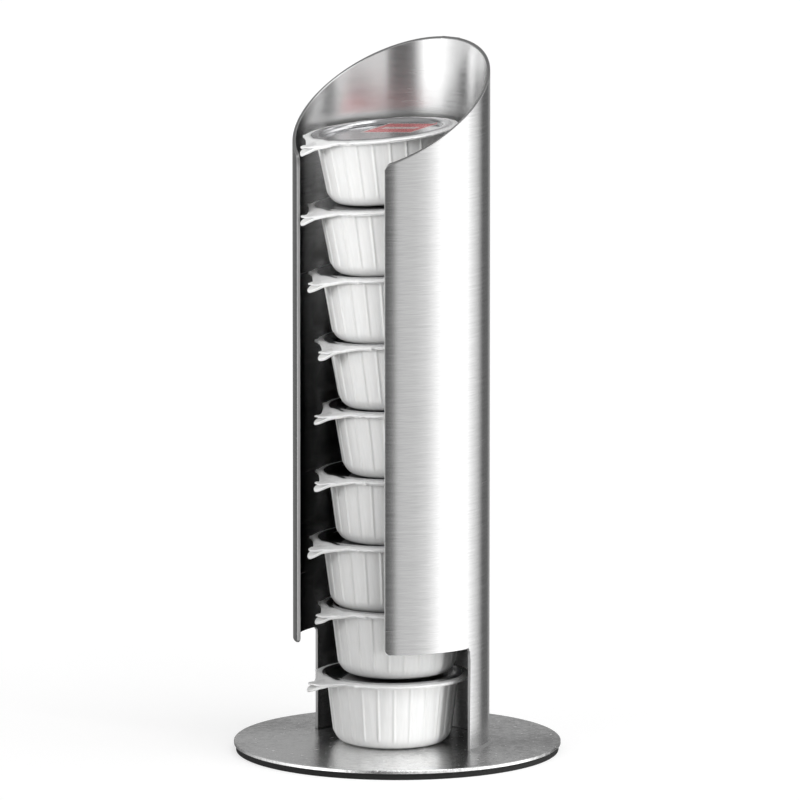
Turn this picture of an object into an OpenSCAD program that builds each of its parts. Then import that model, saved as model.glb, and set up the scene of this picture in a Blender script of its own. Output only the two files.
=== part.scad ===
// Creamer pod holder: a slotted tube on a round base, filled with nine creamer cups.
// Millimetres, +Z up. The origin is the middle of the pad's underside, and the slot faces -Y.

/* [Tube] */
// Outside diameter of the tube
tube_d = 60; // [58:0.5:70]
// Wall thickness of the tube
tube_wall = 1; // [0.6:0.1:1.5]
// Height of the tube's back above the base plate
tube_h = 214; // [200:1:260]
// How far the tube stands in front of the middle of the base
tube_forward = 3; // [0:0.5:8]
// Fall of the slanted mouth towards the front, in degrees
mouth_slant = 30.5; // [15:0.5:35]
// Opening of the front slot, in degrees round the tube
slot_span = 68; // [64:1:80]
// Opening of the outlet, in degrees round the tube
outlet_span = 182; // [150:1:190]
// Height of the outlet above the base plate
outlet_h = 32; // [27:0.5:45]
// Rounding of the walls' top corners beside the slot
mouth_corner_r = 2.5; // [1:0.1:4]
// Rounding of the walls' bottom corners beside the slot
outlet_corner_r = 2; // [1:0.1:4]
// Rounding inside the outlet's upper corners
outlet_fillet_r = 1.5; // [0.5:0.1:3]
// Leg of the weld bead round the foot
weld_leg = 0.8; // [0.4:0.1:1.5]

/* [Base] */
// Diameter of the base plate
base_d = 100; // [90:1:120]
// Thickness of the base plate
base_t = 1; // [0.8:0.1:3]
// Bevel round the plate's upper edge
base_bevel = 0.2; // [0.1:0.05:0.4]
// How far the pad's edge lies inside the plate's edge
pad_inset = 0.5; // [0:0.1:3]
// Thickness of the foam pad
pad_t = 1.8; // [1:0.1:4]
// Thickness of the pad's glue film
adhesive_t = 0.2; // [0.1:0.05:0.5]

/* [Cup] */
// Height of a cup with its rim
cup_h = 21.1; // [19:0.1:23]
// Outside diameter of the cup under its rim
cup_top_d = 39.6; // [37:0.1:41]
// Outside diameter of the cup at its foot, before the corner is rounded
cup_foot_d = 34.8; // [32:0.1:36]
// Wall thickness of the cup
cup_wall = 0.5; // [0.3:0.05:0.8]
// Rounding between the cup's wall and its bottom
cup_corner_r = 4; // [3:0.1:5]
// Rise of the bottom inside the foot ring
foot_rise = 0.6; // [0.2:0.1:1]
// Width of the foot ring
foot_ring_w = 1.6; // [1:0.1:3]
// Diameter of the rim
rim_d = 46.8; // [44:0.1:47.5]
// Thickness of the rim
rim_t = 0.8; // [0.5:0.1:1.2]
// Number of ribs round the cup
rib_count = 24; // [12:1:30]
// Width of a rib
rib_w = 0.8; // [0.4:0.1:1.4]
// How far a rib stands out
rib_h = 0.3; // [0.1:0.05:0.5]
// Height of the ribs' lower ends above the cup's foot
rib_foot_h = 3; // [2:0.1:6]

/* [Tab] */
// Distance of the tab's fold line from the cup's middle
fold_reach = 20.6; // [20:0.1:21.5]
// Length of the cup's tab past its fold line
tab_len = 8.6; // [6:0.1:9]
// Radius of the tab's tip
tab_tip_r = 1.5; // [0.8:0.1:2.5]
// Downward bend of the cup's tab, in degrees
tab_bend = 23; // [12:1:35]
// Length of the foil's tab past the fold line
foil_tab_len = 7.2; // [4:0.1:8]
// Downward bend of the foil's tab, in degrees
foil_tab_bend = 3; // [2:1:8]
// Angle of the two rim nubs from the tab, in degrees
nub_angle = 37; // [34:1:60]
// Radius of a rim nub
nub_r = 0.7; // [0.3:0.1:1]

/* [Lid and fill] */
// Thickness of the foil lid
lid_t = 0.2; // [0.1:0.05:0.4]
// How far the lid's edge lies inside the rim
lid_inset = 0.2; // [0.1:0.05:0.5]
// Diameter of the lid's sunk panel
panel_d = 38; // [36:0.1:38.2]
// Depth of the lid's sunk panel
panel_depth = 1.1; // [0.6:0.1:1.3]
// Width of the sloping step round the panel
panel_step_w = 0.4; // [0.2:0.1:0.8]
// Air over the cream, under the panel
headspace = 1; // [0.5:0.1:4]

/* [Stack] */
// Gap between the lowest cup and the base plate
slide_gap = 0.1; // [0.05:0.05:0.3]
// Gap between a cup's foot and the lid under it
stack_gap = 0.25; // [0.2:0.05:0.5]

/* [Hidden] */
$fn = 96;
overrun = 1;
arc_steps = 8;

// Turn of each pod's tab, from the lowest pod up, as shares of half the slot's opening
turn_share = [-0.82, -0.66, -0.62, -0.6, -0.84, -0.47, -0.6, -0.82, -0.66];
// Place of each cup's foot beside the tube's axis, as shares of the room round the rim
side_share = [0.06, 0.32, -0.1, 0.22, 0.62, 0.41, 0.01, -0.04, -0.21];
// Place of each cup's foot in depth, as shares of the same room
depth_share = [0.05, 0.05, 0, 0.08, -0.05, 0.1, 0, -0.08, 0.05];
// Lean of each pod, in degrees, and the headings that the side shares and the leans follow
pod_lean = [0, 0.5, 1, 1, 2.8, 4, 3.4, 4.5, 5.1];
side_heading = 38;
lean_heading = 218;
// Depth of each lid's panel, as shares of the panel depth
panel_share = [0.4, 0.82, 1, 1, 0.9, 1, 0.9, 0.1, 1];
// How far each foot sits down into the panel below, as shares of that panel's depth: the second
// pod stays clear of the first one's rim, which slides out under it
sink_share = [0, 0, 1, 1, 1, 1, 1, 1, 1];

POD_COUNT = len(pod_lean);
POD_NAMES = [for (k = [1 : POD_COUNT]) str("pod_", k)];

tube_r = tube_d / 2;
bore_r = tube_r - tube_wall;
plate_z = pad_t + adhesive_t;
floor_z = plate_z + base_t;
tube_top_z = floor_z + tube_h;
outlet_z = floor_z + outlet_h;
slot_half = slot_span / 2;
outlet_half = outlet_span / 2;
mouth_corner_z = tube_top_z - tube_r * (1 + cos(slot_half)) * tan(mouth_slant);
mouth_corner_slope = atan(sin(slot_half) * tan(mouth_slant));

rim_r = rim_d / 2;
cup_top_r = cup_top_d / 2;
cup_foot_r = cup_foot_d / 2;
wall_top_z = cup_h - rim_t;
cup_draft = atan((cup_top_r - cup_foot_r) / wall_top_z);
corner_x = cup_foot_r - cup_corner_r * (1 - sin(cup_draft)) / cos(cup_draft);
fold_half_w = sqrt(rim_r * rim_r - fold_reach * fold_reach);
pod_h = cup_h + lid_t;
rim_room = bore_r - rim_r;

// Radius of the cup's outer wall at height z, before the corner is rounded
function wall_r(z) = cup_foot_r + z * tan(cup_draft);

// Radius of the cup's inner wall at height z
function inside_r(z) = wall_r(z) - cup_wall / cos(cup_draft);

// Points of an arc of radius r about c, from angle a to angle b
function arc(c, r, a, b) = [
    for (i = [0 : arc_steps])
        let (turn = a + i * (b - a) / arc_steps)
            c + r * [cos(turn), sin(turn)]
];

// Points of the cup's rounded corner, of radius r about its centre, from the bottom up to the wall
function corner_arc(r) = arc([corner_x, cup_corner_r], r, -90, -cup_draft);

// Upward direction of pod k, and a point of the plan moved by side and depth shares
function pod_up(k) = [
    sin(pod_lean[k]) * cos(lean_heading),
    sin(pod_lean[k]) * sin(lean_heading),
    cos(pod_lean[k])
];
function foot_xy(k) = [
    rim_room * (side_share[k] * cos(side_heading) - depth_share[k] * sin(side_heading)),
    rim_room * (side_share[k] * sin(side_heading) + depth_share[k] * cos(side_heading)) - tube_forward
];

// Height of pod k's foot, which stands on the lid of the pod below
function foot_z(k) = k == 0 ? floor_z + slide_gap :
    let (
        below = foot_xy(k - 1),
        here = foot_xy(k),
        up = pod_up(k - 1),
        sink = sink_share[k] * panel_share[k - 1] * panel_depth,
        seat_x = below[0] + up[0] * (pod_h - sink),
        seat_y = below[1] + up[1] * (pod_h - sink),
        seat_z = foot_z(k - 1) + up[2] * (pod_h - sink),
        fall = ((here[0] - seat_x) * up[0] + (here[1] - seat_y) * up[1]) / up[2],
        tilt = acos(min(1, up * pod_up(k)))
    )
        seat_z - fall + corner_x * sin(tilt) + stack_gap;

// Moves a pod's piece to its place in the stack: tab towards -Y first, foot at the origin
module in_stack(k) {
    xy = foot_xy(k);
    translate([xy[0], xy[1], foot_z(k)])
        rotate([0, 0, lean_heading])
            rotate([0, pod_lean[k], 0])
                rotate([0, 0, turn_share[k] * slot_half - lean_heading])
                    children();
}

// Moves a flat cutter, drawn with X away from the slot and Y up, onto the wall at an angle
module on_wall(angle, z) {
    for (side = [-1, 1])
        translate([0, -tube_forward, z])
            rotate([0, 0, side * angle])
                mirror([side < 0 ? 1 : 0, 0, 0])
                    translate([0, -bore_r + tube_wall, 0])
                        rotate([90, 0, 0])
                            linear_extrude(tube_wall * 3)
                                children();
}

// Wedge of the given opening round the tube, towards -Y, drawn from the tube's axis
module wedge(half, z_low, z_high) {
    far = tube_d;
    translate([0, -tube_forward, z_low])
        linear_extrude(z_high - z_low)
            polygon([
                [0, 0],
                [-far * sin(half), -far * cos(half)],
                [-far, -far],
                [far, -far],
                [far * sin(half), -far * cos(half)]
            ]);
}

// Slot, drawn from the axis, with the same radial sides as the wedge but a narrow opening
module slot_cut() {
    far = tube_d;
    translate([0, -tube_forward, outlet_z - overrun])
        linear_extrude(tube_top_z - outlet_z + overrun * 2)
            polygon([
                [0, 0],
                [-far * sin(slot_half), -far * cos(slot_half)],
                [far * sin(slot_half), -far * cos(slot_half)]
            ]);
}

// Outlet with rounded upper corners
module outlet_cut() {
    difference() {
        wedge(outlet_half, floor_z - overrun, outlet_z);
        on_wall(outlet_half, outlet_z)
            mirror([1, 0])
                mirror([0, 1])
                    corner_sliver(outlet_fillet_r);
    }
}

// Everything above the slanted mouth
module mouth_cut() {
    far = tube_d * 3;
    translate([0, tube_r - tube_forward, tube_top_z])
        rotate([mouth_slant, 0, 0])
            translate([-far / 2, -far + overrun, 0])
                cube([far, far, far]);
}

// Sliver outside the rounding of a wall's top corner, where the mouth's edge slopes up and away
module mouth_corner_sliver() {
    r = mouth_corner_r;
    s = mouth_corner_slope;
    centre = [r, r * (tan(s) - 1 / cos(s))];
    polygon(concat(
        [[-overrun, centre[1]], [-overrun, centre[1] + r + overrun]],
        [centre + (r + overrun) * [-sin(s), cos(s)]],
        arc(centre, r, 90 + s, 180)
    ));
}

// Sliver outside the rounding of a square corner that lies at the origin
module corner_sliver(r) {
    polygon(concat(
        [[-overrun, r], [-overrun, -overrun], [r, -overrun]],
        arc([r, r], r, 270, 180)
    ));
}

module dispenser_tube() {
    color("silver")
        difference() {
            translate([0, -tube_forward, floor_z])
                difference() {
                    cylinder(h = tube_h, r = tube_r);
                    translate([0, 0, -overrun])
                        cylinder(h = tube_h + overrun * 2, r = bore_r);
                }
            slot_cut();
            outlet_cut();
            mouth_cut();
            on_wall(slot_half, mouth_corner_z) mouth_corner_sliver();
            on_wall(slot_half, outlet_z) corner_sliver(outlet_corner_r);
        }
}

module foot_weld() {
    color("darkgray")
        translate([0, -tube_forward, floor_z])
            rotate([0, 0, outlet_half - 90])
                rotate_extrude(angle = 360 - outlet_span)
                    polygon([[tube_r, 0], [tube_r + weld_leg, 0], [tube_r, weld_leg]]);
}

module base_plate() {
    base_r = base_d / 2;
    color("lightgray")
        translate([0, 0, plate_z])
            rotate_extrude()
                polygon([
                    [0, 0],
                    [base_r, 0],
                    [base_r, base_t - base_bevel],
                    [base_r - base_bevel, base_t],
                    [0, base_t]
                ]);
}

module pad_adhesive() {
    color("dimgray")
        translate([0, 0, pad_t])
            cylinder(h = adhesive_t, r = base_d / 2 - pad_inset);
}

module anti_slip_pad() {
    color("black")
        cylinder(h = pad_t, r = base_d / 2 - pad_inset);
}

// Outline of a tab past the fold line, which lies on the X axis; the tip points to -Y
module tab_outline(length) {
    tip = [0, tab_tip_r - length];
    root_x = fold_half_w - lid_inset;
    touch = atan2(-tip[1], root_x) - acos(tab_tip_r / norm([root_x, tip[1]]));
    polygon(concat([[root_x, 0]], arc(tip, tab_tip_r, touch, -180 - touch), [[-root_x, 0]]));
}

// Tab plate of a given thickness, bent down about the edge at the fold line
module tab_plate(length, thick, bend) {
    translate([0, -fold_reach, 0])
        rotate([bend, 0, 0])
            translate([0, 0, -thick])
                linear_extrude(thick)
                    tab_outline(length);
}

// Everything past the fold line, which the tab takes the place of
module past_fold(z) {
    translate([-rim_r, -fold_reach - rim_r, z - panel_depth - rim_t])
        cube([rim_d, rim_r, panel_depth + rim_t + lid_t + overrun]);
}

// Ribs round the cup's wall, each a slice of a cone round the cup's axis
module ribs() {
    span = rib_w / cup_top_r * 180 / PI;
    for (i = [0 : rib_count - 1])
        rotate([0, 0, (i + 0.5) * 360 / rib_count - span / 2])
            rotate_extrude(angle = span)
                polygon([
                    [wall_r(rib_foot_h) - cup_wall / 2, rib_foot_h],
                    [wall_r(rib_foot_h) + rib_h, rib_foot_h],
                    [wall_r(wall_top_z) + rib_h, wall_top_z],
                    [wall_r(wall_top_z) - cup_wall / 2, wall_top_z]
                ]);
}

module cup_shell() {
    ring_in = corner_x - foot_ring_w;
    rotate_extrude()
        polygon(concat(
            [[0, foot_rise], [ring_in - foot_rise, foot_rise], [ring_in, 0]],
            corner_arc(cup_corner_r),
            [[cup_top_r, wall_top_z], [rim_r, wall_top_z], [rim_r, cup_h], [inside_r(cup_h), cup_h]],
            arc([corner_x, cup_corner_r], cup_corner_r - cup_wall, -cup_draft, -90),
            [[ring_in, cup_wall], [ring_in - foot_rise, cup_wall + foot_rise], [0, cup_wall + foot_rise]]
        ));
}

module pod_cup(k) {
    color("white")
        in_stack(k) {
            difference() {
                union() {
                    cup_shell();
                    for (side = [-1, 1])
                        rotate([0, 0, side * nub_angle])
                            translate([0, -rim_r, wall_top_z])
                                cylinder(h = rim_t, r = nub_r);
                }
                past_fold(cup_h);
            }
            ribs();
            translate([0, 0, cup_h])
                tab_plate(tab_len, rim_t, tab_bend);
        }
}

module pod_lid(k) {
    lid_r = rim_r - lid_inset;
    panel_r = panel_d / 2;
    depth = panel_depth * panel_share[k];
    color("gainsboro")
        in_stack(k)
            translate([0, 0, cup_h]) {
                difference() {
                    rotate_extrude()
                        polygon([
                            [0, -depth],
                            [panel_r - panel_step_w, -depth],
                            [panel_r, 0],
                            [lid_r, 0],
                            [lid_r, lid_t],
                            [panel_r - lid_t, lid_t],
                            [panel_r - panel_step_w - lid_t, lid_t - depth],
                            [0, lid_t - depth]
                        ]);
                    past_fold(0);
                }
                translate([0, 0, lid_t])
                    tab_plate(foil_tab_len, lid_t, foil_tab_bend);
            }
}

module pod_cream(k) {
    fill_z = cup_h - panel_depth - headspace;
    ring_in = corner_x - foot_ring_w;
    color("ivory")
        in_stack(k)
            rotate_extrude()
                polygon(concat(
                    [[0, cup_wall + foot_rise], [ring_in - foot_rise, cup_wall + foot_rise], [ring_in, cup_wall]],
                    corner_arc(cup_corner_r - cup_wall),
                    [[inside_r(fill_z), fill_z], [0, fill_z]]
                ));
}

dispenser_tube();
foot_weld();
base_plate();
pad_adhesive();
anti_slip_pad();
for (k = [0 : POD_COUNT - 1]) {
    pod_cup(k);
    pod_lid(k);
    pod_cream(k);
}
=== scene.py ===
# Looks of the creamer pod holder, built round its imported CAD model. Metres, in the CAD frame.
import math
import bmesh
import bpy
from mathutils import Matrix, Vector, noise


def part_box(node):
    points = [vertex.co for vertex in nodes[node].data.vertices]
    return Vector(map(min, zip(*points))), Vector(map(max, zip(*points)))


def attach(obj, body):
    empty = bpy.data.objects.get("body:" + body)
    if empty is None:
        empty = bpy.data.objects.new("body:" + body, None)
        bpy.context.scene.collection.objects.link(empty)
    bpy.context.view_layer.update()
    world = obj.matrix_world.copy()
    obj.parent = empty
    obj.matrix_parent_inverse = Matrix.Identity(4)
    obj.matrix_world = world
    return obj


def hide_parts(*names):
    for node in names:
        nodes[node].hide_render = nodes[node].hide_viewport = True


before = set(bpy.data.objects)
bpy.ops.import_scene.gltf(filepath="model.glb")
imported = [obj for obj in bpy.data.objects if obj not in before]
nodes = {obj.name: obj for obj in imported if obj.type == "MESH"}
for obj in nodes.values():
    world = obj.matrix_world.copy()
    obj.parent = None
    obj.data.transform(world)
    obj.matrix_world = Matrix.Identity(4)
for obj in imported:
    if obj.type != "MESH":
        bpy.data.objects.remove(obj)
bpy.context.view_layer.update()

MM = 0.001
POD_COUNT = 9
NO_DISTANCE = 0.01 * MM

# Tube
TUBE_R = 30 * MM
WALL = 1 * MM
BORE_R = TUBE_R - WALL
TUBE_FORWARD = 3 * MM
PLATE_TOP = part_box("base_plate")[1].z
TUBE_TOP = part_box("dispenser_tube")[1].z
MOUTH_SLANT = math.radians(30.5)
SLOT_HALF = math.radians(34)
SLOT_TOP_Z = TUBE_TOP - TUBE_R * (1 + math.cos(SLOT_HALF)) * math.tan(MOUTH_SLANT)
OUTLET_HALF = math.radians(91)
OUTLET_Z = PLATE_TOP + 32 * MM
MOUTH_CORNER_R = 2.5 * MM
OUTLET_CORNER_R = 2 * MM
OUTLET_FILLET_R = 1.5 * MM
TUBE_COLUMNS = 360
CORNER_STEPS = 8
CORNER_REACH = 3.2 * MM
CORNER_SLACK = 1.5 * MM
MERGE_GAP = 0.05 * MM
MOUTH_SHIFT_REACH = 0.6 * MM
EDGE_ROUND = 0.22 * MM
EDGE_ANGLE = math.radians(50)

# Tube's finish: dull cut faces between its two skins, painted shade that darkens the bore downwards, and
# painted light that brightens the bore near the mouth
SKIN = 0.1 * MM
SKIN_FADE = 0.04 * MM
BORE_PAINTED_SHADE_Z = 60 * MM
BORE_PAINTED_LIGHT_Z = 196 * MM
MOUTH_PAINTED_LIGHT_Z = 175 * MM

# Pad
PAD_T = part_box("anti_slip_pad")[1].z
PAD_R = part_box("anti_slip_pad")[1].x
PAD_POLE_R = 0.5 * MM
PAD_EDGE_INSET = 0.15 * MM
PAD_EDGE_ROWS = 10
PAD_COLUMNS = 720
CELL_W = 0.45 * MM
CELL_DEPTH = 0.13 * MM

# Cup
CUP_H = 21.1 * MM
CUP_TOP_R = 19.8 * MM
CUP_FOOT_R = 17.4 * MM
CUP_WALL = 0.5 * MM
CUP_CORNER_R = 4 * MM
POLE_R = 0.2 * MM
FOOT_RISE = 0.6 * MM
FOOT_RING_W = 1.6 * MM
FOOT_RING_EDGE = 0.3 * MM
RIM_R = 23.4 * MM
RIM_T = 0.8 * MM
RIM_ROUND = 0.25 * MM
RIM_FALL = 0.25 * MM
RIM_FILLET = 0.4 * MM
RIM_UNDER_Z = CUP_H - RIM_T
RIM_BAND = 1.5 * RIM_T
CUP_DRAFT = math.atan((CUP_TOP_R - CUP_FOOT_R) / RIM_UNDER_Z)
CORNER_CENTRE_R = CUP_FOOT_R - CUP_CORNER_R * (1 - math.sin(CUP_DRAFT)) / math.cos(CUP_DRAFT)
FOOT_RING_R = CORNER_CENTRE_R - FOOT_RING_W
RIB_COUNT = 24
RIB_H = 0.42 * MM
PANEL_BULGE = 0.1 * MM
RIB_HALF = math.radians(1.5)
RIB_FOOT_Z = 3 * MM
RIB_RUNOUT = 0.7 * MM
RIB_TOP_GAP = 0.05 * MM
COLUMNS = RIB_COUNT * 16
CREAM_BAND = 4 * MM
LEVEL_ENOUGH = 0.95

# Tab
FOLD_REACH = 20.6 * MM
FOLD_HALF_W = math.sqrt(RIM_R ** 2 - FOLD_REACH ** 2)
TAB_START_R = 20.1 * MM
TAB_LEN = 8.4 * MM
TAB_TIP_R = 2.4 * MM
TAB_BEND = math.radians(20)
TAB_FLANK = 1.4
TAB_CURL = 0.35 * MM
TAB_CURL_LEN = 2.2 * MM
TAB_WAVE = 0.3 * MM
TAB_WAVE_W = 2.6 * MM
TAB_WAVE_START = 3 * MM
FOIL_TAB_LEN = 7.9 * MM
FOIL_TAB_BEND = math.radians(19.5)
FOIL_TAB_LIFT = 1.6 * MM
FOIL_TAB_LIFT_LEN = 6 * MM
NUB_ANGLE = math.radians(37)
NUB_R = 0.7 * MM

# Lid
LID_T = 0.2 * MM
SKIRT_R = 23.52 * MM
SKIRT_DROP = 0.42 * MM
PANEL_R = 19 * MM
PANEL_STEP_W = 0.4 * MM
PANEL_DEPTH = 1.1 * MM
RING_COUNT = 4
RING_STEPS = 4
RING_GROOVE = 0.06 * MM
RING_CREST = 0.16 * MM
CRINKLE_START = PANEL_R + 1.5 * MM
CRINKLE_FADE = 2 * MM
RING_WAVE = 0.1 * MM
RING_WAVE_W = 3 * MM
SKIRT_WAVE = 0.25 * MM
SKIRT_WAVE_W = 1.1 * MM
EDGE_WAVE = 0.12 * MM
EDGE_WAVE_W = 1.6 * MM

# Label on the top lid
LABEL_X = -2.6 * MM
LABEL_Y = 8 * MM
LABEL_TURN = math.radians(28)
LABEL_HALF_L = 9.3 * MM
LABEL_HALF_W = 8.4 * MM
LABEL_LINE = 0.7 * MM
LABEL_EDGE = 0.05 * MM
LABEL_MARGIN = 0.6 * MM
STRIPE_HALF_L = 6.2 * MM
STRIPE_HALF_W = 1.7 * MM

# Camera, fitted to the photograph
CAMERA_AZIMUTH = math.radians(37.916)
CAMERA_DISTANCE = 3.5537
CAMERA_HEIGHT = 0.7012
CAMERA_PITCH = math.radians(9.468)
PHOTO_WIDTH_PX = 800
FOCAL_PX = 11836.3
TUBE_AXIS_PX = 391.27
SENSOR_WIDTH = 36
CLIP_END = 50

# Floor
FLOOR_SIZE = 12
FLOOR_PALE = 0.9
FLOOR_DIM = 0.45
FLOOR_GLOW = 1.3

# Brightness round the studio, by degrees from the camera's side round to its right
STUDIO_LEVEL = 3.0
STUDIO_RING = (
    (-180, 0.3), (-166, 0.2), (-150, 0.14), (-128, 0.4), (-100, 0.82), (-84, 0.95), (-70, 1.35),
    (-61, 1.65), (-42, 1.65), (-34, 0.85), (-27, 0.26), (-18, 0.13), (-5, 0.13), (-1, 0.24),
    (3, 0.32), (6, 0.8), (28, 0.85), (42, 1.05), (55, 1.55), (64, 1.9), (98, 1.9), (107, 1.4),
    (122, 0.8), (134, 0.16), (157, 0.16), (162, 0.45), (171, 0.3), (180, 0.3))
STUDIO_CEILING = (
    (-180, 0.4), (-70, 0.45), (5, 0.5), (20, 2.4), (70, 2.4), (90, 0.5), (180, 0.4))

# Heights in the studio, as the upward share of a direction
CEILING_START = 0.48
CEILING_FADE = 0.15
SKYLINE_START = 0.06
SKYLINE_FULL = 0.2
SKYLINE_LEVEL = 0.36
SKYLINE_SHARE = 0.8

# Lamps: watts, width, spread, place and target
UPPER_LAMP = (0.065, 0.16, math.radians(34), Vector((-0.03, -0.5, 0.26)), Vector((-0.005, 0, 0.185)))
LOWER_LAMP = (
    0.0055, 0.05, math.radians(12), Vector((0.45, -0.012, 0.06)), Vector((0.01, -0.014, 0.012)))


class Value:
    """A shader output on which plain arithmetic adds Math nodes."""

    def __init__(self, finish, socket):
        self.finish = finish
        self.socket = socket

    def math(self, operation, *others):
        return self.finish.math(operation, self, *others)

    def __add__(self, other):
        return self.math("ADD", other)

    def __sub__(self, other):
        return self.math("SUBTRACT", other)

    def __rsub__(self, other):
        return self.finish.math("SUBTRACT", other, self)

    def __mul__(self, other):
        return self.math("MULTIPLY", other)

    def __truediv__(self, other):
        return self.math("DIVIDE", other)

    __radd__ = __add__
    __rmul__ = __mul__

    def between(self, low, high):
        """0 below low, 1 above high, and smooth between them."""
        settings = {"interpolation_type": "SMOOTHSTEP"}
        return self.finish.add("ShaderNodeMapRange", settings, {0: self, 1: low, 2: high})


class Finish:
    """A material, or the world, whose nodes are added by one method."""

    def __init__(self, name, tree=None):
        self.material = None
        if tree is None:
            self.material = bpy.data.materials.new(name)
            self.material.use_nodes = True
            tree = self.material.node_tree
        self.tree = tree
        self.tree.nodes.clear()

    def add(self, kind, settings=None, inputs=None, output=0):
        node = self.tree.nodes.new(kind)
        for key, value in (settings or {}).items():
            if key == "stops":
                set_stops(node.color_ramp, value)
            else:
                setattr(node, key, value)
        for key, value in (inputs or {}).items():
            if isinstance(value, Value):
                self.tree.links.new(value.socket, node.inputs[key])
            else:
                node.inputs[key].default_value = value
        return Value(self, node.outputs[output]) if node.outputs else node

    def math(self, operation, *values):
        return self.add("ShaderNodeMath", {"operation": operation}, dict(enumerate(values)))

    def parts(self, vector):
        """A vector's X, Y and Z."""
        split = self.tree.nodes.new("ShaderNodeSeparateXYZ")
        self.tree.links.new(vector.socket, split.inputs[0])
        return [Value(self, output) for output in split.outputs]

    def place(self, attribute=None):
        """The X, Y and Z of a point: in the CAD frame, or in the pod's own frame."""
        if attribute:
            settings = {"attribute_name": attribute}
            return self.parts(self.add("ShaderNodeAttribute", settings, output="Vector"))
        return self.parts(self.add("ShaderNodeTexCoord", output="Object"))

    def vector(self, x, y, z):
        return self.add("ShaderNodeCombineXYZ", None, {0: x, 1: y, 2: z})

    def noise(self, vector, scale, detail=3.0, roughness=0.5):
        inputs = {"Vector": vector, "Scale": scale, "Detail": detail, "Roughness": roughness}
        return self.add("ShaderNodeTexNoise", None, inputs)

    def mix(self, factor, a, b):
        settings = {"data_type": "RGBA", "clamp_factor": True}
        return self.add("ShaderNodeMix", settings, {0: factor, 6: a, 7: b}, output=2)

    def bump(self, height, distance, strength=1.0):
        inputs = {"Height": height, "Distance": distance, "Strength": strength}
        return self.add("ShaderNodeBump", None, inputs)

    def surface(self, inputs):
        shader = self.add("ShaderNodeBsdfPrincipled", None, inputs)
        self.output(shader)
        return self.material

    def output(self, shader, kind="ShaderNodeOutputMaterial"):
        node = self.tree.nodes.new(kind)
        self.tree.links.new(shader.socket, node.inputs["Surface"])


def set_stops(ramp, stops):
    while len(ramp.elements) < len(stops):
        ramp.elements.new(0.5)
    for element, (position, level) in zip(ramp.elements, stops):
        element.position = position
        element.color = (level, level, level, 1)


def grey(level):
    return (level, level, level, 1)


# Materials

def brushed_steel():
    """Stainless steel brushed round the tube. Cut faces are dull; painted shade darkens the bore
    downwards, and painted light brightens it near the mouth.
    """
    steel = Finish("tube_brushed")
    x, y, z = steel.place()
    y = y + TUBE_FORWARD
    reach = (x * x + y * y).math("SQRT")
    streak = steel.noise(steel.vector(x * 45, y * 45, z * 1500), 1.0, 5.0, 0.65)
    fine = steel.noise(steel.vector(x * 150, y * 150, z * 5200), 1.0, 3.0, 0.6)
    cloud = steel.noise(steel.vector(x * 60, y * 60, z * 25), 1.0, 3.0)
    past_bore = reach.between(BORE_R + SKIN, BORE_R + SKIN + SKIN_FADE)
    past_wall = reach.between(TUBE_R - SKIN - SKIN_FADE, TUBE_R - SKIN)
    cut = past_bore * (1 - past_wall)
    bore = 1 - reach.between(BORE_R, BORE_R + SKIN)
    coarse = 0.35 + bore * 0.35
    lines = (streak * coarse + fine * (1 - coarse)).between(0.27, 0.73)
    # Painted shade: the bore's colour darkens downwards, where the stack shuts out the light
    deep = bore * (1 - z.between(BORE_PAINTED_SHADE_Z, BORE_PAINTED_LIGHT_Z))
    # Painted light: the bore's colour brightens near the mouth, standing in for the light and
    # reflections that come in there
    mouth = bore * z.between(MOUTH_PAINTED_LIGHT_Z, BORE_PAINTED_LIGHT_Z)
    colour = steel.mix(lines * 0.85 + cloud * 0.15, grey(0.55), grey(0.72))
    # Painted light and reflection: near-white at the top of the bore
    colour = steel.mix(mouth * 0.62, colour, grey(0.95))
    colour = steel.mix(cut, colour, grey(0.4))
    # Painted shade: dark grey low in the bore
    colour = steel.mix(deep, colour, grey(0.3))
    return steel.surface({
        "Base Color": colour,
        "Metallic": 1.0,
        "Roughness": 0.15 + lines * 0.1 + cloud * 0.05 + cut * 0.2,
        "Normal": steel.bump(lines, 0.02 * MM, 0.22),
        "Anisotropic": 0.8,
        "Anisotropic Rotation": 0.25,
    })


def grained_steel():
    """The base plate's fine, directionless grain, with a few bright specks."""
    steel = Finish("base_grain")
    x, y, z = steel.place()
    place = steel.vector(x, y, z)
    grain = steel.noise(place, 520.0, 5.0, 0.8)
    cloud = steel.noise(steel.vector(x + 0.02, y, z), 13.0, 2.0)
    speck = steel.noise(place, 620.0, 1.0).between(0.72, 0.76)
    bright = (grain * 2.6 - 1.0) + (cloud * 3.2 - 1.3) + speck * 0.5
    return steel.surface({
        "Base Color": steel.mix(bright, grey(0.42), grey(0.98)),
        "Metallic": 1.0,
        "Roughness": 0.16 + grain * 0.14 + speck * 0.3,
        "Normal": steel.bump(grain, 0.08 * MM, 0.8),
        "Anisotropic": 0.6,
    })


def weld_steel():
    """The bead's small ripples, one after the other round the foot."""
    weld = Finish("weld_bead")
    x, y, z = weld.place()
    angle = x.math("ARCTAN2", y + TUBE_FORWARD)
    uneven = weld.noise(weld.vector(x, y, z), 400.0) * 3
    ripple = (angle * 190 + uneven).math("SINE") * 0.5 + 0.5
    return weld.surface({
        "Base Color": weld.mix(ripple, grey(0.42), grey(0.62)),
        "Metallic": 1.0,
        "Roughness": 0.3 + ripple * 0.15,
        "Normal": weld.bump(ripple, 0.05 * MM, 0.6),
    })


def foam_rubber():
    """The black pad's open cells."""
    foam = Finish("pad_foam")
    x, y, z = foam.place()
    cells = foam.noise(foam.vector(x, y, z), 1500.0, 4.0, 0.7)
    return foam.surface({
        "Base Color": foam.mix(cells, grey(0.004), grey(0.025)),
        "Roughness": 0.7 + cells * 0.25,
        "Normal": foam.bump(cells, 0.12 * MM, 0.8),
    })


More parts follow.
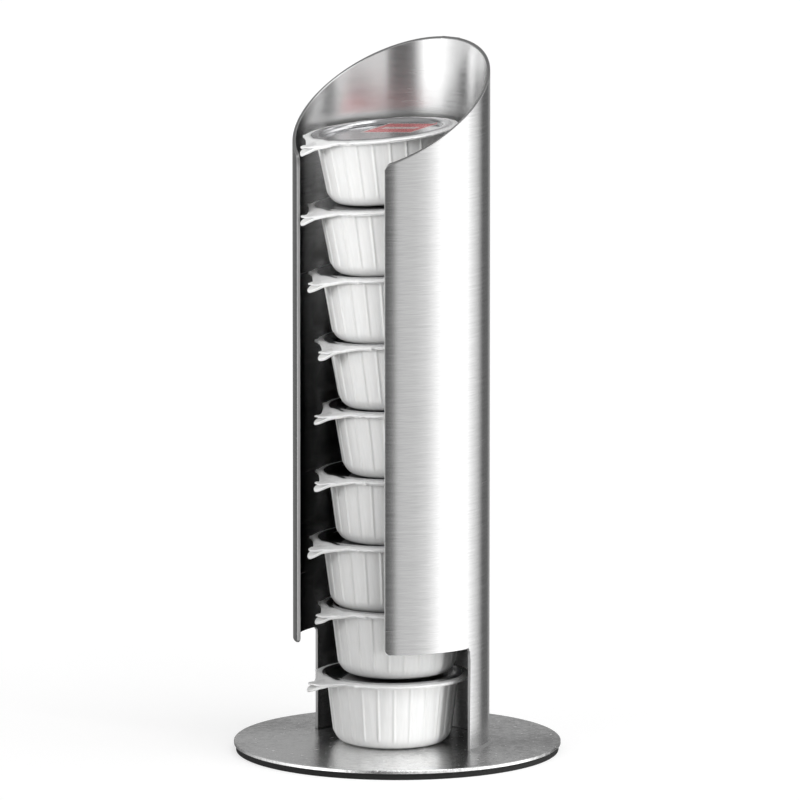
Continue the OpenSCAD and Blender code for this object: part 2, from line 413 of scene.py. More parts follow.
def glue_film():
    """The thin grey film that holds the pad."""
    film = Finish("glue_film")
    x, y, z = film.place()
    smear = film.noise(film.vector(x, y, z), 300.0, 3.0)
    return film.surface({
        "Base Color": film.mix(smear, grey(0.05), grey(0.12)),
        "Roughness": 0.35 + smear * 0.2,
    })


def white_plastic():
    """The cups' satin white plastic, a little uneven from forming, with a woven grip on the tab."""
    plastic = Finish("cup_plastic")
    x, y, z = plastic.place("pod_place")
    place = plastic.vector(x, y, z)
    haze = plastic.noise(place, 260.0, 3.0)
    pull = plastic.noise(plastic.vector(x * 900, y * 900, z * 30), 1.0, 3.0, 0.6)
    streak = pull.between(0.3, 0.7)
    tab = (0 - FOLD_REACH - y).between(0, 0.4 * MM)
    weave = (x * 5200).math("SINE") * (y * 5200).math("SINE")
    fine = plastic.noise(place, 3000.0, 2.0)
    dim_white = (0.86, 0.86, 0.85, 1)
    full_white = (0.94, 0.94, 0.93, 1)
    return plastic.surface({
        "Base Color": plastic.mix(haze * 0.3 + streak * 0.7, dim_white, full_white),
        "Roughness": 0.26 + pull * 0.1 + tab * 0.2,
        "Normal": plastic.bump(pull * 0.2 + fine * 0.1 + tab * weave * 0.9, 0.06 * MM, 0.5),
        "Subsurface Weight": 0.12,
        "Subsurface Radius": (1.2 * MM, 1.1 * MM, 1.0 * MM),
        "Subsurface Scale": 1.0,
        "Coat Weight": 0.25,
        "Coat Roughness": 0.15,
    })


def lid_foil(printed):
    """Embossed foil: a bright wrinkled panel, rings round its edge, and a rough pale seal and tab."""
    foil = Finish("lid_foil_printed" if printed else "lid_foil")
    x, y, z = foil.place("pod_place")
    reach = (x * x + y * y).math("SQRT")
    seal = reach.between(PANEL_R - 0.2 * MM, PANEL_R + 0.3 * MM)
    tab = (0 - FOLD_REACH - y).between(0, MM)
    dull = tab.math("MAXIMUM", reach.between(RIM_R - 2.4 * MM, RIM_R - 1.2 * MM))
    wrinkle = foil.noise(foil.vector(x * 150, y * 230, z * 150), 1.0, 4.0, 0.62)
    crease = foil.noise(foil.vector(x * 420, y * 420, z), 1.0, 3.0, 0.7)
    knurl = (x * 4800).math("SINE") * (y * 4800).math("SINE")
    colour = foil.mix(dull, (0.57, 0.57, 0.58, 1), (0.95, 0.95, 0.95, 1))
    rough = 0.06 + crease * 0.1 + seal * 0.08 + dull * 0.25
    metal = 1 - dull * 0.75
    if printed:
        pale, red = label_masks(x, y, z, reach)
        colour = foil.mix(pale, colour, (0.86, 0.8, 0.78, 1))
        colour = foil.mix(red, colour, (0.78, 0.18, 0.19, 1))
        rough = rough + pale * 0.16
        metal = metal * (1 - pale * 0.45)
    return foil.surface({
        "Base Color": colour,
        "Metallic": metal,
        "Roughness": rough,
        "Normal": foil.bump(wrinkle + crease * 0.35 + knurl * dull * 0.3, 0.08 * MM, 0.8),
    })


def label_masks(x, y, z, reach):
    """A pale square and the red one inside it, with a pale stripe, on the foil's upper face."""
    panel_z = CUP_H - PANEL_DEPTH
    above = z.between(panel_z + 0.4 * LID_T, panel_z + 0.7 * LID_T)
    margin = PANEL_R - LABEL_MARGIN
    panel = above * (1 - reach.between(margin - 0.1 * MM, margin))
    across = (x - LABEL_X) * math.cos(LABEL_TURN) + (y - LABEL_Y) * math.sin(LABEL_TURN)
    along = (y - LABEL_Y) * math.cos(LABEL_TURN) - (x - LABEL_X) * math.sin(LABEL_TURN)
    across = across.math("ABSOLUTE")
    along = along.math("ABSOLUTE")

    def box(half_l, half_w):
        inside = 1 - across.between(half_l - LABEL_EDGE, half_l)
        return inside * (1 - along.between(half_w - LABEL_EDGE, half_w))

    pale = box(LABEL_HALF_L, LABEL_HALF_W) * panel
    red = box(LABEL_HALF_L - LABEL_LINE, LABEL_HALF_W - LABEL_LINE) * above
    red = red * (1 - box(STRIPE_HALF_L, STRIPE_HALF_W) * 0.8)
    return pale, red


def cream():
    """Cream with a faint swirl."""
    liquid = Finish("cream")
    x, y, z = liquid.place()
    swirl = liquid.noise(liquid.vector(x, y, z), 120.0, 3.0)
    return liquid.surface({
        "Base Color": liquid.mix(swirl, (0.86, 0.77, 0.58, 1), (0.92, 0.86, 0.7, 1)),
        "Roughness": 0.12 + swirl * 0.06,
        "Subsurface Weight": 0.3,
        "Subsurface Radius": (3 * MM, 2.4 * MM, 1.6 * MM),
        "Subsurface Scale": 1.0,
    })


# Modelling helpers

def clear_selection():
    bpy.ops.object.select_all(action="DESELECT")


def take(piece):
    """Selects just this piece, and makes it the active one."""
    clear_selection()
    piece.select_set(True)
    bpy.context.view_layer.objects.active = piece


def begin_edit(piece):
    take(piece)
    bpy.ops.object.mode_set(mode="EDIT")


def end_edit():
    bpy.ops.object.mode_set(mode="OBJECT")


def pick_faces(piece, test):
    """In edit mode, selects just the faces whose middle passes the test, and says how many."""
    bpy.ops.mesh.select_mode(type="FACE")
    shape = bmesh.from_edit_mesh(piece.data)
    count = 0
    for face in shape.faces:
        chosen = test(face.calc_center_median())
        face.select_set(chosen)
        count += chosen
    bmesh.update_edit_mesh(piece.data)
    return count


def pick_points(piece, test):
    """In edit mode, selects just the vertices that pass the test."""
    bpy.ops.mesh.select_mode(type="VERT")
    shape = bmesh.from_edit_mesh(piece.data)
    for vertex in shape.verts:
        vertex.select_set(test(vertex.co))
    shape.select_flush(True)
    bmesh.update_edit_mesh(piece.data)


def apply_place(piece):
    take(piece)
    bpy.ops.object.transform_apply(location=True, rotation=True, scale=True)


def apply_modifier(piece, kind, **settings):
    take(piece)
    modifier = piece.modifiers.new(kind, kind)
    for key, value in settings.items():
        setattr(modifier, key, value)
    bpy.ops.object.modifier_apply(modifier=modifier.name)


def finish_piece(piece, name, material, body, replaced):
    """Names and dresses a piece, puts it on the body that carries it, and hides the CAD node it stands
    for.
    """
    piece.name = name
    piece.data.name = name
    piece.data.materials.clear()
    piece.data.materials.append(material)
    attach(piece, body)
    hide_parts(replaced)


def copy_master(master):
    """A copy with its own mesh."""
    piece = master.copy()
    piece.data = master.data.copy()
    bpy.context.scene.collection.objects.link(piece)
    return piece


def arc(centre, radius, start, end, steps):
    turns = [start + (end - start) * i / steps for i in range(steps + 1)]
    return [(centre[0] + radius * math.cos(t), centre[1] + radius * math.sin(t)) for t in turns]


def lathe(name, profile, columns):
    """Extrudes a ring along a profile of radius and height points, and closes both poles."""
    clear_selection()
    first_r, first_z = profile[0]
    bpy.ops.mesh.primitive_circle_add(vertices=columns, radius=first_r, location=(0, 0, first_z))
    piece = bpy.context.object
    piece.name = name
    apply_place(piece)
    begin_edit(piece)
    bpy.ops.mesh.select_all(action="SELECT")
    for (r0, z0), (r1, z1) in zip(profile, profile[1:]):
        bpy.ops.mesh.extrude_region()
        bpy.ops.transform.resize(value=(r1 / r0, r1 / r0, 1))
        bpy.ops.transform.translate(value=(0, 0, z1 - z0))
    bpy.ops.mesh.merge(type="CENTER")
    pick_points(piece, lambda co: co.xy.length < first_r * 1.5 and abs(co.z - first_z) < NO_DISTANCE)
    bpy.ops.mesh.merge(type="CENTER")
    bpy.ops.mesh.select_all(action="SELECT")
    bpy.ops.mesh.normals_make_consistent(inside=False)
    end_edit()
    return piece


# Pods

def pod_frame(number):
    """A pod's place, measured on its CAD nodes: its foot at the origin and its tab towards -Y."""
    fill = nodes[f"pod_{number}_cream"].data
    level = [p for p in fill.polygons if p.normal.z > LEVEL_ENOUGH and p.area > 0]
    highest = max(p.center.z for p in level)
    top = [p for p in level if p.center.z > highest - CREAM_BAND]
    up = sum((p.normal * p.area for p in top), Vector()).normalized()
    middle = sum((p.center * p.area for p in top), Vector()) / sum(p.area for p in top)
    cup = [v.co - middle for v in nodes[f"pod_{number}_cup"].data.vertices]
    foot = middle + up * min(co.dot(up) for co in cup)
    flat = [co - up * co.dot(up) for co in cup]
    tab = max(flat, key=lambda co: co.length).normalized()
    turn = Matrix(((-tab).cross(up), -tab, up)).transposed()
    return Matrix.Translation(foot) @ turn.to_4x4()


def tab_half_width(y, length):
    """Half the tab's width at a distance from the cup's middle; its flanks are hollow."""
    tip_y = FOLD_REACH + length - TAB_TIP_R
    if y > tip_y:
        return math.sqrt(max(0, TAB_TIP_R ** 2 - (y - tip_y) ** 2))
    share = (tip_y - y) / (tip_y - FOLD_REACH)
    return TAB_TIP_R + (FOLD_HALF_W - TAB_TIP_R) * share ** TAB_FLANK


def tab_reach(angle, length):
    """How far the tab's outline reaches at an angle, found by halving the stretch it lies in."""
    inside = FOLD_REACH / math.cos(angle)
    outside = FOLD_REACH + length
    for halving in range(24):
        middle = (inside + outside) / 2
        if tab_half_width(middle * math.cos(angle), length) > middle * math.sin(angle):
            inside = middle
        else:
            outside = middle
    return inside


def rim_reach(angle, length):
    """How far the outline reaches from the cup's middle, at an angle from the tab."""
    angle = abs(math.remainder(angle, 2 * math.pi))
    if angle < math.asin(FOLD_HALF_W / RIM_R):
        return tab_reach(angle, length)
    offset = RIM_R * math.sin(angle - NUB_ANGLE)
    if abs(offset) < NUB_R and angle < 2 * NUB_ANGLE:
        return RIM_R * math.cos(angle - NUB_ANGLE) + math.sqrt(NUB_R ** 2 - offset ** 2)
    return RIM_R


def pull_tab(piece, edge_r, length, bend, top_z, curl, curl_len):
    """Pulls the rim out to the tab's and the nubs' outline, and bends down what lies past the fold."""
    for vertex in piece.data.vertices:
        co = vertex.co
        radius = co.xy.length
        if radius < TAB_START_R or co.z < top_z - RIM_BAND:
            continue
        reach = rim_reach(math.atan2(co.x, -co.y), length) - RIM_R + edge_r
        grown = TAB_START_R + (radius - TAB_START_R) * (reach - TAB_START_R) / (edge_r - TAB_START_R)
        co.xy *= grown / radius
        past = -FOLD_REACH - co.y
        if past > 0:
            drop = top_z - co.z
            end = max(0, 1 - (length - past) / curl_len)
            co.y = -FOLD_REACH - past * math.cos(bend) + drop * math.sin(bend)
            co.z = top_z - past * math.sin(bend) - drop * math.cos(bend) - curl * end ** 2


def slope_rim(piece, edge_r):
    """Lets the rim fall a little towards its edge."""
    for vertex in piece.data.vertices:
        past = vertex.co.xy.length - TAB_START_R
        if past > 0 and vertex.co.z > CUP_H - RIM_BAND:
            vertex.co.z -= RIM_FALL * past / (edge_r - TAB_START_R)


def cup_wall_r(z):
    return CUP_FOOT_R + z * math.tan(CUP_DRAFT)


def cup_bore_r(z):
    return cup_wall_r(z) - CUP_WALL / math.cos(CUP_DRAFT)


def rim_radii():
    """Radii across the rim, close enough together for the tab's bend."""
    span = RIM_R - RIM_ROUND - TAB_START_R
    return [TAB_START_R + span * share for share in (0.0, 0.2, 0.4, 0.6, 0.8)]


def cup_outside():
    """The cup's outer profile, from the middle of its foot to its rim's edge."""
    ring_r = FOOT_RING_R
    points = [(POLE_R, FOOT_RISE), (ring_r - FOOT_RISE, FOOT_RISE)]
    points += [(ring_r - FOOT_RING_EDGE, FOOT_RING_EDGE), (ring_r, 0)]
    corner = (CORNER_CENTRE_R, CUP_CORNER_R)
    points += arc(corner, CUP_CORNER_R, -math.pi / 2, -CUP_DRAFT, CORNER_STEPS)
    levels = [RIB_FOOT_Z + RIB_RUNOUT * share for share in (1.5, 2)]
    levels += [RIM_UNDER_Z * share for share in (0.4, 0.6, 0.8, 0.93)]
    points += [(cup_wall_r(z), z) for z in levels if z > CUP_CORNER_R]
    wall_r = cup_wall_r(RIM_UNDER_Z)
    fillet = (wall_r + RIM_FILLET, RIM_UNDER_Z - RIM_FILLET)
    points += arc(fillet, RIM_FILLET, math.pi, math.pi / 2, 3)
    points += [(max(r, wall_r + RIM_FILLET * 1.2), RIM_UNDER_Z) for r in rim_radii()]
    edge_r = RIM_R - RIM_ROUND
    points += arc((edge_r, RIM_UNDER_Z + RIM_ROUND), RIM_ROUND, -math.pi / 2, 0, 3)
    points += arc((edge_r, CUP_H - RIM_ROUND), RIM_ROUND, 0, math.pi / 2, 3)
    return points


def cup_inside():
    """The cup's inner profile, from the rim's top to the middle of its floor."""
    points = [(r, CUP_H) for r in reversed(rim_radii())]
    fillet = (cup_bore_r(CUP_H) + RIM_FILLET, CUP_H - RIM_FILLET)
    points += arc(fillet, RIM_FILLET, math.pi / 2, math.pi, 3)
    points += [(cup_bore_r(CUP_H * share), CUP_H * share) for share in (0.7, 0.4)]
    corner = (CORNER_CENTRE_R, CUP_CORNER_R)
    points += arc(corner, CUP_CORNER_R - CUP_WALL, -CUP_DRAFT, -math.pi / 2, CORNER_STEPS)
    floor_z = CUP_WALL + FOOT_RISE
    points += [(FOOT_RING_R, CUP_WALL), (FOOT_RING_R - FOOT_RISE, floor_z), (POLE_R, floor_z)]
    return points


def cup_master():
    cup = lathe("cup_master", cup_outside() + cup_inside(), COLUMNS)
    raise_ribs(cup)
    slope_rim(cup, RIM_R)
    pull_tab(cup, RIM_R, TAB_LEN, TAB_BEND, CUP_H, TAB_CURL, TAB_CURL_LEN)
    return cup


def raise_ribs(cup):
    """Lifts the ribs out of the cup's outer wall, which swells a little between them."""
    pitch = 2 * math.pi / RIB_COUNT
    for vertex in cup.data.vertices:
        co = vertex.co
        radius = co.xy.length
        outer = CUP_FOOT_R - CUP_CORNER_R / 2
        if co.z > CUP_CORNER_R:
            outer = cup_wall_r(co.z) - 0.7 * CUP_WALL
        if radius < outer or not RIB_FOOT_Z - RIB_RUNOUT < co.z < RIM_UNDER_Z - RIB_TOP_GAP:
            continue
        off = abs(math.remainder(math.atan2(co.x, -co.y) - pitch / 2, pitch))
        rise = PANEL_BULGE * (0.5 - (1 - off / (pitch / 2)) ** 2)
        if off < RIB_HALF:
            rise += RIB_H * (0.5 + 0.5 * math.cos(math.pi * off / RIB_HALF))
        start = min(1, max(0, (co.z - RIB_FOOT_Z + RIB_RUNOUT) / (2 * RIB_RUNOUT)))
        co.xy *= 1 + rise * start / radius


def lid_top():
    """The foil's upper profile over a level rim: the sunk panel, its rings and its rounded edge."""
    floor_z = LID_T - PANEL_DEPTH
    points = [(POLE_R, floor_z)]
    points += [(PANEL_R * share, floor_z) for share in (0.2, 0.4, 0.6, 0.75, 0.86, 0.93)]
    points += [(PANEL_R - PANEL_STEP_W, floor_z)]
    points += [(PANEL_R - PANEL_STEP_W / 2, LID_T - PANEL_DEPTH / 2)]
    steps = RING_COUNT * RING_STEPS
    span = RIM_R - 2 * RIM_ROUND - PANEL_R
    for i in range(steps + 1):
        groove = 0.5 + 0.5 * math.cos(2 * math.pi * i / RING_STEPS)
        share = i / steps
        crest = RING_CREST * min(share * 5, (1 - share) * 1.25)
        points.append((PANEL_R + span * share, LID_T + crest - RING_GROOVE * groove))
    bend_r = SKIRT_R - RIM_R + RIM_ROUND
    points += arc((SKIRT_R - bend_r, LID_T - bend_r), bend_r, math.pi / 2, 0, 3)
    return points


def lid_under():
    """The foil's lower profile, from its edge pressed down round the rim to the panel's middle."""
    skirt_in = (SKIRT_R + RIM_R) / 2
    points = [(SKIRT_R, -SKIRT_DROP), (skirt_in, -SKIRT_DROP), (skirt_in, 0)]
    points += [(RIM_R - RIM_ROUND, 0), (PANEL_R, 0)]
    points += [(PANEL_R - PANEL_STEP_W - LID_T, -PANEL_DEPTH), (POLE_R, -PANEL_DEPTH)]
    return points


def lid_master():
    """A foil lid whose panel is at its full depth."""
    lid = lathe("lid_master", lid_top() + lid_under(), COLUMNS)
    lid.data.transform(Matrix.Translation((0, 0, CUP_H)))
    slope_rim(lid, RIM_R)
    pull_tab(lid, SKIRT_R, FOIL_TAB_LEN, FOIL_TAB_BEND, CUP_H + LID_T, -FOIL_TAB_LIFT, FOIL_TAB_LIFT_LEN)
    return lid


def panel_depth(number, place):
    """How deep the CAD lid's panel is sunk below the rim's top."""
    away = place.inverted()
    inner = [away @ v.co for v in nodes[f"pod_{number}_lid"].data.vertices]
    return CUP_H - min(co.z for co in inner if co.xy.length < PANEL_R)


def sink_panel(lid, depth):
    """Brings the panel up from its full depth to its own."""
    for vertex in lid.data.vertices:
        below = CUP_H + LID_T - vertex.co.z
        if vertex.co.xy.length < PANEL_R - NO_DISTANCE and below > 0:
            share = min(1, (PANEL_R - vertex.co.xy.length) / PANEL_STEP_W)
            vertex.co.z += (PANEL_DEPTH - depth) * share


def crinkle_lid(lid, number):
    """Leaves the foil a little uneven: its rings, its ragged edge and its tab."""
    seed = Vector((number * 7.3, number * 3.1, number * 1.7))
    for vertex in lid.data.vertices:
        co = vertex.co
        radius = co.xy.length
        if radius > CRINKLE_START:
            share = min(1, (radius - CRINKLE_START) / CRINKLE_FADE)
            flat = Vector((co.x, co.y, 0))
            co.z += noise.noise(flat / RING_WAVE_W + seed) * RING_WAVE * share
            if co.z < CUP_H and radius > RIM_R:
                co.z += noise.noise(flat / SKIRT_WAVE_W + seed) * SKIRT_WAVE
            co.xy *= 1 + noise.noise(flat / EDGE_WAVE_W + seed) * EDGE_WAVE * share / radius


def wave_tab(piece, number):
    """Leaves a tab a little wavy past its fold, the foil's and the cup's alike."""
    seed = Vector((number * 5.1, number * 2.3, 0.3))
    for vertex in piece.data.vertices:
        past = -FOLD_REACH - vertex.co.y
        if past > 0 and vertex.co.z > CUP_H - TAB_LEN:
            flat = Vector((vertex.co.x, vertex.co.y, 0))
            share = min(1, past / TAB_WAVE_START)
            vertex.co.z += noise.noise(flat / TAB_WAVE_W + seed) * TAB_WAVE * share


def settle(piece, place):
    """Keeps the pod's own coordinates for the finish, then moves the mesh to its place in the stack."""
    layer = piece.data.attributes.new("pod_place", "FLOAT_VECTOR", "POINT")
    for vertex, value in zip(piece.data.vertices, layer.data):
        value.vector = vertex.co
    piece.data.transform(place)
    piece.data.shade_smooth()


def build_pods(plastic, foil, printed_foil):
    """All pods, lowest first. The top pod's lid is printed, and peels by itself."""
    cup = cup_master()
    lid = lid_master()
    for number in range(1, POD_COUNT + 1):
        place = pod_frame(number)
        pod = f"pod_{number}"
        top = number == POD_COUNT
        shell = copy_master(cup)
        wave_tab(shell, number)
        settle(shell, place)
        finish_piece(shell, f"cup_{number}", plastic, pod, f"{pod}_cup")
        cover = copy_master(lid)
        sink_panel(cover, panel_depth(number, place))
        crinkle_lid(cover, number)
        wave_tab(cover, number)
        settle(cover, place)
        material = printed_foil if top else foil
        body = "top_lid" if top else pod
        finish_piece(cover, f"lid_{number}", material, body, f"{pod}_lid")
    bpy.data.objects.remove(cup)
    bpy.data.objects.remove(lid)


# Tube

class Corner:
    """A rounded corner of the tube's openings, on one side of its front, as chords to cut along.

    Points are pairs: how far away from the front, and how far up, from the corner itself.
    """

    def __init__(self, side, angle, z, points, inner_point):
        self.points = points
        self.out = Vector((side * math.sin(angle), -math.cos(angle), 0))
        self.away = Vector((side * math.cos(angle), math.sin(angle), 0))
        self.base = Vector((0, -TUBE_FORWARD, z))
        places = [self.place(point) for point in points]
        inner = self.place(inner_point)
        self.planes = []
        for a, b in zip(places, places[1:]):
            normal = self.out.cross(b - a).normalized()
            if normal.dot(inner - a) > 0:
                normal = -normal
            self.planes.append((a, normal))

    def place(self, point):
        return self.base + self.away * point[0] + Vector((0, 0, point[1]))

    def near(self, co, slack=0):
        """Whether a place lies in the box round the corner's points."""
        offset = co - self.base
        u, v = offset.dot(self.away), offset.z
        low_u, high_u = min(p[0] for p in self.points), max(p[0] for p in self.points)
        low_v, high_v = min(p[1] for p in self.points), max(p[1] for p in self.points)
        fits = low_u - slack < u < high_u + slack and low_v - slack < v < high_v + slack
        return fits and offset.dot(self.out) > 0

    def outside(self, co):
        return any(normal.dot(co - point) > 0 for point, normal in self.planes)

    def cut(self, wall):
        """Cuts the chords into the wall's faces near the corner."""
        for point, normal in self.planes:
            if pick_faces(wall, lambda co: self.near(co, CORNER_SLACK)):
                bpy.ops.mesh.bisect(plane_co=point, plane_no=normal, use_fill=False)


def slot_corners():
    """The slot's upper corners at the mouth and its lower ones at the outlet, on both sides."""
    slope = math.atan(math.sin(SLOT_HALF) * math.tan(MOUTH_SLANT))
    r = MOUTH_CORNER_R
    mouth_centre = (r, r * (math.tan(slope) - 1 / math.cos(slope)))
    mouth_arc = arc(mouth_centre, r, math.pi / 2 + slope, math.pi, CORNER_STEPS)
    r = OUTLET_CORNER_R
    foot_centre = (r, r)
    foot_arc = arc(foot_centre, r, 1.5 * math.pi, math.pi, CORNER_STEPS)
    corners = []
    for side in (-1, 1):
        corners.append(Corner(side, SLOT_HALF, SLOT_TOP_Z, mouth_arc, mouth_centre))
        corners.append(Corner(side, SLOT_HALF, OUTLET_Z, foot_arc, foot_centre))
    return corners


def outlet_fillets():
    """The outlet's inside corners, where its top edge meets the uncut back half."""
    r = OUTLET_FILLET_R
    centre = (-r, -r)
    fillet_arc = arc(centre, r, math.pi / 2, 0, CORNER_STEPS)
    return [Corner(side, OUTLET_HALF, OUTLET_Z, fillet_arc, centre) for side in (-1, 1)]


def is_open(co, corners, fillets):
    """Whether a place on the tube lies in the slot, the outlet or a corner that is cut off."""
    if any(corner.near(co) and corner.outside(co) for corner in corners):
        return True
    angle = abs(math.atan2(co.x, -(co.y + TUBE_FORWARD)))
    if angle < SLOT_HALF and co.z > OUTLET_Z - MM:
        return True
    in_fillet = any(fillet.near(co) and fillet.outside(co) for fillet in fillets)
    return angle < OUTLET_HALF and co.z < OUTLET_Z and not in_fillet


def tube_wall():
    """The outer face of the tube's wall, cut to the mouth, the slot and the outlet."""
    height = TUBE_TOP - PLATE_TOP
    clear_selection()
    bpy.ops.mesh.primitive_cylinder_add(
        vertices=TUBE_COLUMNS, radius=TUBE_R, depth=height, end_fill_type="NOTHING",
        location=(0, -TUBE_FORWARD, PLATE_TOP + height / 2))
    wall = bpy.context.object
    apply_place(wall)
    begin_edit(wall)
    bpy.ops.mesh.select_all(action="SELECT")
    mouth_point = Vector((0, TUBE_R - TUBE_FORWARD, TUBE_TOP))
    mouth_normal = Vector((0, -math.sin(MOUTH_SLANT), math.cos(MOUTH_SLANT)))
    bpy.ops.mesh.bisect(plane_co=mouth_point, plane_no=mouth_normal, clear_outer=True, use_fill=False)
    levels = (OUTLET_Z - CORNER_REACH, OUTLET_Z, OUTLET_Z + CORNER_REACH, SLOT_TOP_Z - CORNER_REACH)
    for level in levels:
        bpy.ops.mesh.select_all(action="SELECT")
        bpy.ops.mesh.bisect(plane_co=(0, 0, level), plane_no=(0, 0, 1), use_fill=False)
    corners = slot_corners()
    fillets = outlet_fillets()
    for corner in corners + fillets:
        corner.cut(wall)
    pick_faces(wall, lambda co: is_open(co, corners, fillets))
    bpy.ops.mesh.delete(type="FACE")
    bpy.ops.mesh.select_all(action="SELECT")
    bpy.ops.mesh.remove_doubles(threshold=MERGE_GAP)
    end_edit()
    return wall


def mouth_z(y):
    """Height of the mouth's slanted plane."""
    return TUBE_TOP - (TUBE_R - TUBE_FORWARD - y) * math.tan(MOUTH_SLANT)


def inner_wall(outer):
    """A copy of the outer face, moved in to the bore, with its mouth back on the slanted plane."""
    inner = copy_master(outer)
    for vertex in inner.data.vertices:
        co = vertex.co
        bore_y = (co.y + TUBE_FORWARD) * BORE_R / TUBE_R - TUBE_FORWARD
        share = max(0, 1 - max(0, mouth_z(co.y) - co.z) / MOUTH_SHIFT_REACH)
        co.z += (mouth_z(bore_y) - mouth_z(co.y)) * share
        co.x *= BORE_R / TUBE_R
        co.y = bore_y
    return inner


def build_tube(steel):
    """Joins the two faces of the wall along all its edges, and rounds those."""
    tube = tube_wall()
    inner = inner_wall(tube)
    take(tube)
    inner.select_set(True)
    bpy.ops.object.join()
    begin_edit(tube)
    bpy.ops.mesh.select_all(action="DESELECT")
    bpy.ops.mesh.select_mode(type="EDGE")
    bpy.ops.mesh.select_non_manifold(
        extend=False, use_wire=False, use_boundary=True, use_multi_face=False,
        use_non_contiguous=False, use_verts=False)
    bpy.ops.mesh.bridge_edge_loops()
    bpy.ops.mesh.select_all(action="SELECT")
    bpy.ops.mesh.normals_make_consistent(inside=False)
    end_edit()
    tube.data.shade_smooth()
    apply_modifier(
        tube, "BEVEL", width=EDGE_ROUND, segments=3, limit_method="ANGLE",
        angle_limit=EDGE_ANGLE, harden_normals=True, use_clamp_overlap=False)
    finish_piece(tube, "tube", steel, "holder", "dispenser_tube")


# Pad

def build_pad(foam):
    """The foam pad: a cut disc whose edge shows open cells."""
    under = [(PAD_POLE_R, 0), (PAD_R * 0.5, 0), (PAD_R - MM, 0)]
    edge_r = PAD_R - PAD_EDGE_INSET
    edge = [(edge_r, PAD_T * i / PAD_EDGE_ROWS) for i in range(PAD_EDGE_ROWS + 1)]
    top = [(r, PAD_T) for r, z in reversed(under)]
    pad = lathe("pad", under + edge + top, PAD_COLUMNS)
    for vertex in pad.data.vertices:
        co = vertex.co
        on_edge = co.xy.length > edge_r - NO_DISTANCE
        if on_edge and NO_DISTANCE < co.z < PAD_T - NO_DISTANCE:
            co.xy *= 1 + noise.noise(co / CELL_W) * CELL_DEPTH / PAD_R
    pad.data.shade_smooth()
    finish_piece(pad, "pad", foam, "holder", "anti_slip_pad")


def dress_node(name, material):
    """Gives a CAD node that stays in the scene its finish."""
    mesh = nodes[name].data
    mesh.materials.clear()
    mesh.materials.append(material)


# Stage

def ring_stops(ring):
    return [(degrees / 360 + 0.5, level / STUDIO_LEVEL) for degrees, level in ring]


def build_world():
    """White for the camera. For light and reflections, a ring of soft boxes and dark flags.

    In reflections the ring is plainer above the horizon, where the base plate mirrors it, so
    that the plate looks alike from all sides.
    """
    world = bpy.data.worlds.new("studio")
    bpy.context.scene.world = world
    world.use_nodes = True
    sky = Finish("studio", world.node_tree)
    x, y, z = sky.parts(sky.add("ShaderNodeTexCoord", output="Generated"))
    turn_x, turn_y = math.sin(CAMERA_AZIMUTH), -math.cos(CAMERA_AZIMUTH)
    ahead = x * turn_x + y * turn_y
    right = y * turn_x - x * turn_y
    share = right.math("ARCTAN2", ahead) / (2 * math.pi) + 0.5
    ramp = sky.add("ShaderNodeValToRGB", {"stops": ring_stops(STUDIO_RING)}, {0: share})
    ceiling = sky.add("ShaderNodeValToRGB", {"stops": ring_stops(STUDIO_CEILING)}, {0: share})
    glossy_ray = sky.add("ShaderNodeLightPath", output="Is Glossy Ray")
    skyline = glossy_ray * z.between(SKYLINE_START, SKYLINE_FULL) * SKYLINE_SHARE
    walls = sky.mix(skyline, ramp, grey(SKYLINE_LEVEL / STUDIO_LEVEL))
    light = sky.mix(z.between(CEILING_START, CEILING_START + CEILING_FADE), walls, ceiling)
    studio = sky.add("ShaderNodeBackground", None, {"Color": light, "Strength": STUDIO_LEVEL})
    white = sky.add("ShaderNodeBackground", None, {"Color": grey(1.0), "Strength": 1.0})
    camera_ray = sky.add("ShaderNodeLightPath", output="Is Camera Ray")
    mixed = sky.add("ShaderNodeMixShader", None, {0: camera_ray, 1: studio, 2: white})
    sky.output(mixed, "ShaderNodeOutputWorld")


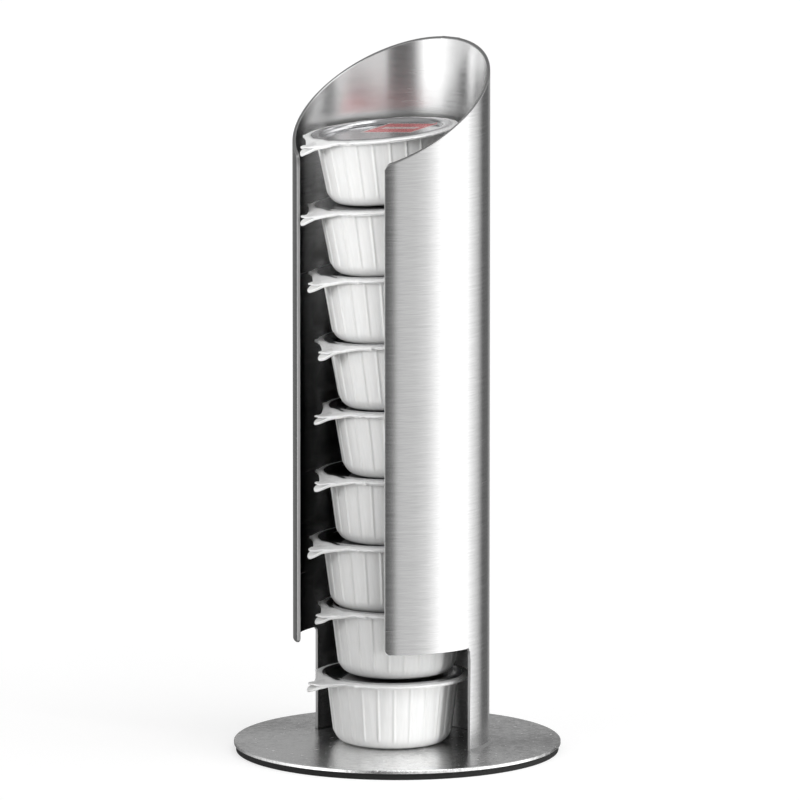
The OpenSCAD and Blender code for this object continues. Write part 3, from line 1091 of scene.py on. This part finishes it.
def build_floor():
    """A pale floor that glows a little for the camera, is dim for light, and isn't mirrored."""
    clear_selection()
    bpy.ops.mesh.primitive_plane_add(size=FLOOR_SIZE, location=(0, 0, 0))
    floor = bpy.context.object
    floor.name = "floor"
    paint = Finish("floor")
    pale = paint.add("ShaderNodeBsdfDiffuse", None, {"Color": grey(FLOOR_PALE)})
    dim = paint.add("ShaderNodeBsdfDiffuse", None, {"Color": grey(FLOOR_DIM)})
    glow = paint.add("ShaderNodeEmission", None, {"Color": grey(1.0), "Strength": FLOOR_GLOW})
    seen = paint.add("ShaderNodeMixShader", None, {0: 0.5, 1: pale, 2: glow})
    camera_ray = paint.add("ShaderNodeLightPath", output="Is Camera Ray")
    glossy_ray = paint.add("ShaderNodeLightPath", output="Is Glossy Ray")
    plain = paint.add("ShaderNodeMixShader", None, {0: camera_ray, 1: dim, 2: seen})
    clear = paint.add("ShaderNodeBsdfTransparent")
    paint.output(paint.add("ShaderNodeMixShader", None, {0: glossy_ray, 1: plain, 2: clear}))
    floor.data.materials.append(paint.material)


def build_lamp(name, watts, width, spread, place, target):
    """A soft box that lights the cups, and isn't mirrored in the steel."""
    data = bpy.data.lights.new(name, "AREA")
    data.size = width
    data.energy = watts
    data.spread = spread
    lamp = bpy.data.objects.new(name, data)
    bpy.context.scene.collection.objects.link(lamp)
    lamp.location = place
    lamp.rotation_euler = (target - place).to_track_quat("-Z", "Y").to_euler()
    lamp.visible_glossy = False


def build_camera():
    data = bpy.data.cameras.new("camera")
    camera = bpy.data.objects.new("camera", data)
    bpy.context.scene.collection.objects.link(camera)
    bpy.context.scene.camera = camera
    data.sensor_width = SENSOR_WIDTH
    data.lens = FOCAL_PX / PHOTO_WIDTH_PX * SENSOR_WIDTH
    data.shift_x = (PHOTO_WIDTH_PX / 2 - TUBE_AXIS_PX) / PHOTO_WIDTH_PX
    data.clip_end = CLIP_END
    camera.location = (
        CAMERA_DISTANCE * math.sin(CAMERA_AZIMUTH),
        -TUBE_FORWARD - CAMERA_DISTANCE * math.cos(CAMERA_AZIMUTH),
        CAMERA_HEIGHT)
    camera.rotation_euler = (math.pi / 2 - CAMERA_PITCH, 0, CAMERA_AZIMUTH)


def build_all():
    build_tube(brushed_steel())
    build_pods(white_plastic(), lid_foil(False), lid_foil(True))
    build_pad(foam_rubber())
    dress_node("base_plate", grained_steel())
    dress_node("foot_weld", weld_steel())
    dress_node("pad_adhesive", glue_film())
    filling = cream()
    for number in range(1, POD_COUNT + 1):
        dress_node(f"pod_{number}_cream", filling)
    build_world()
    build_floor()
    build_lamp("upper_soft_box", *UPPER_LAMP)
    build_lamp("lower_soft_box", *LOWER_LAMP)
    build_camera()
    bpy.context.scene.view_settings.view_transform = "Standard"


build_all()
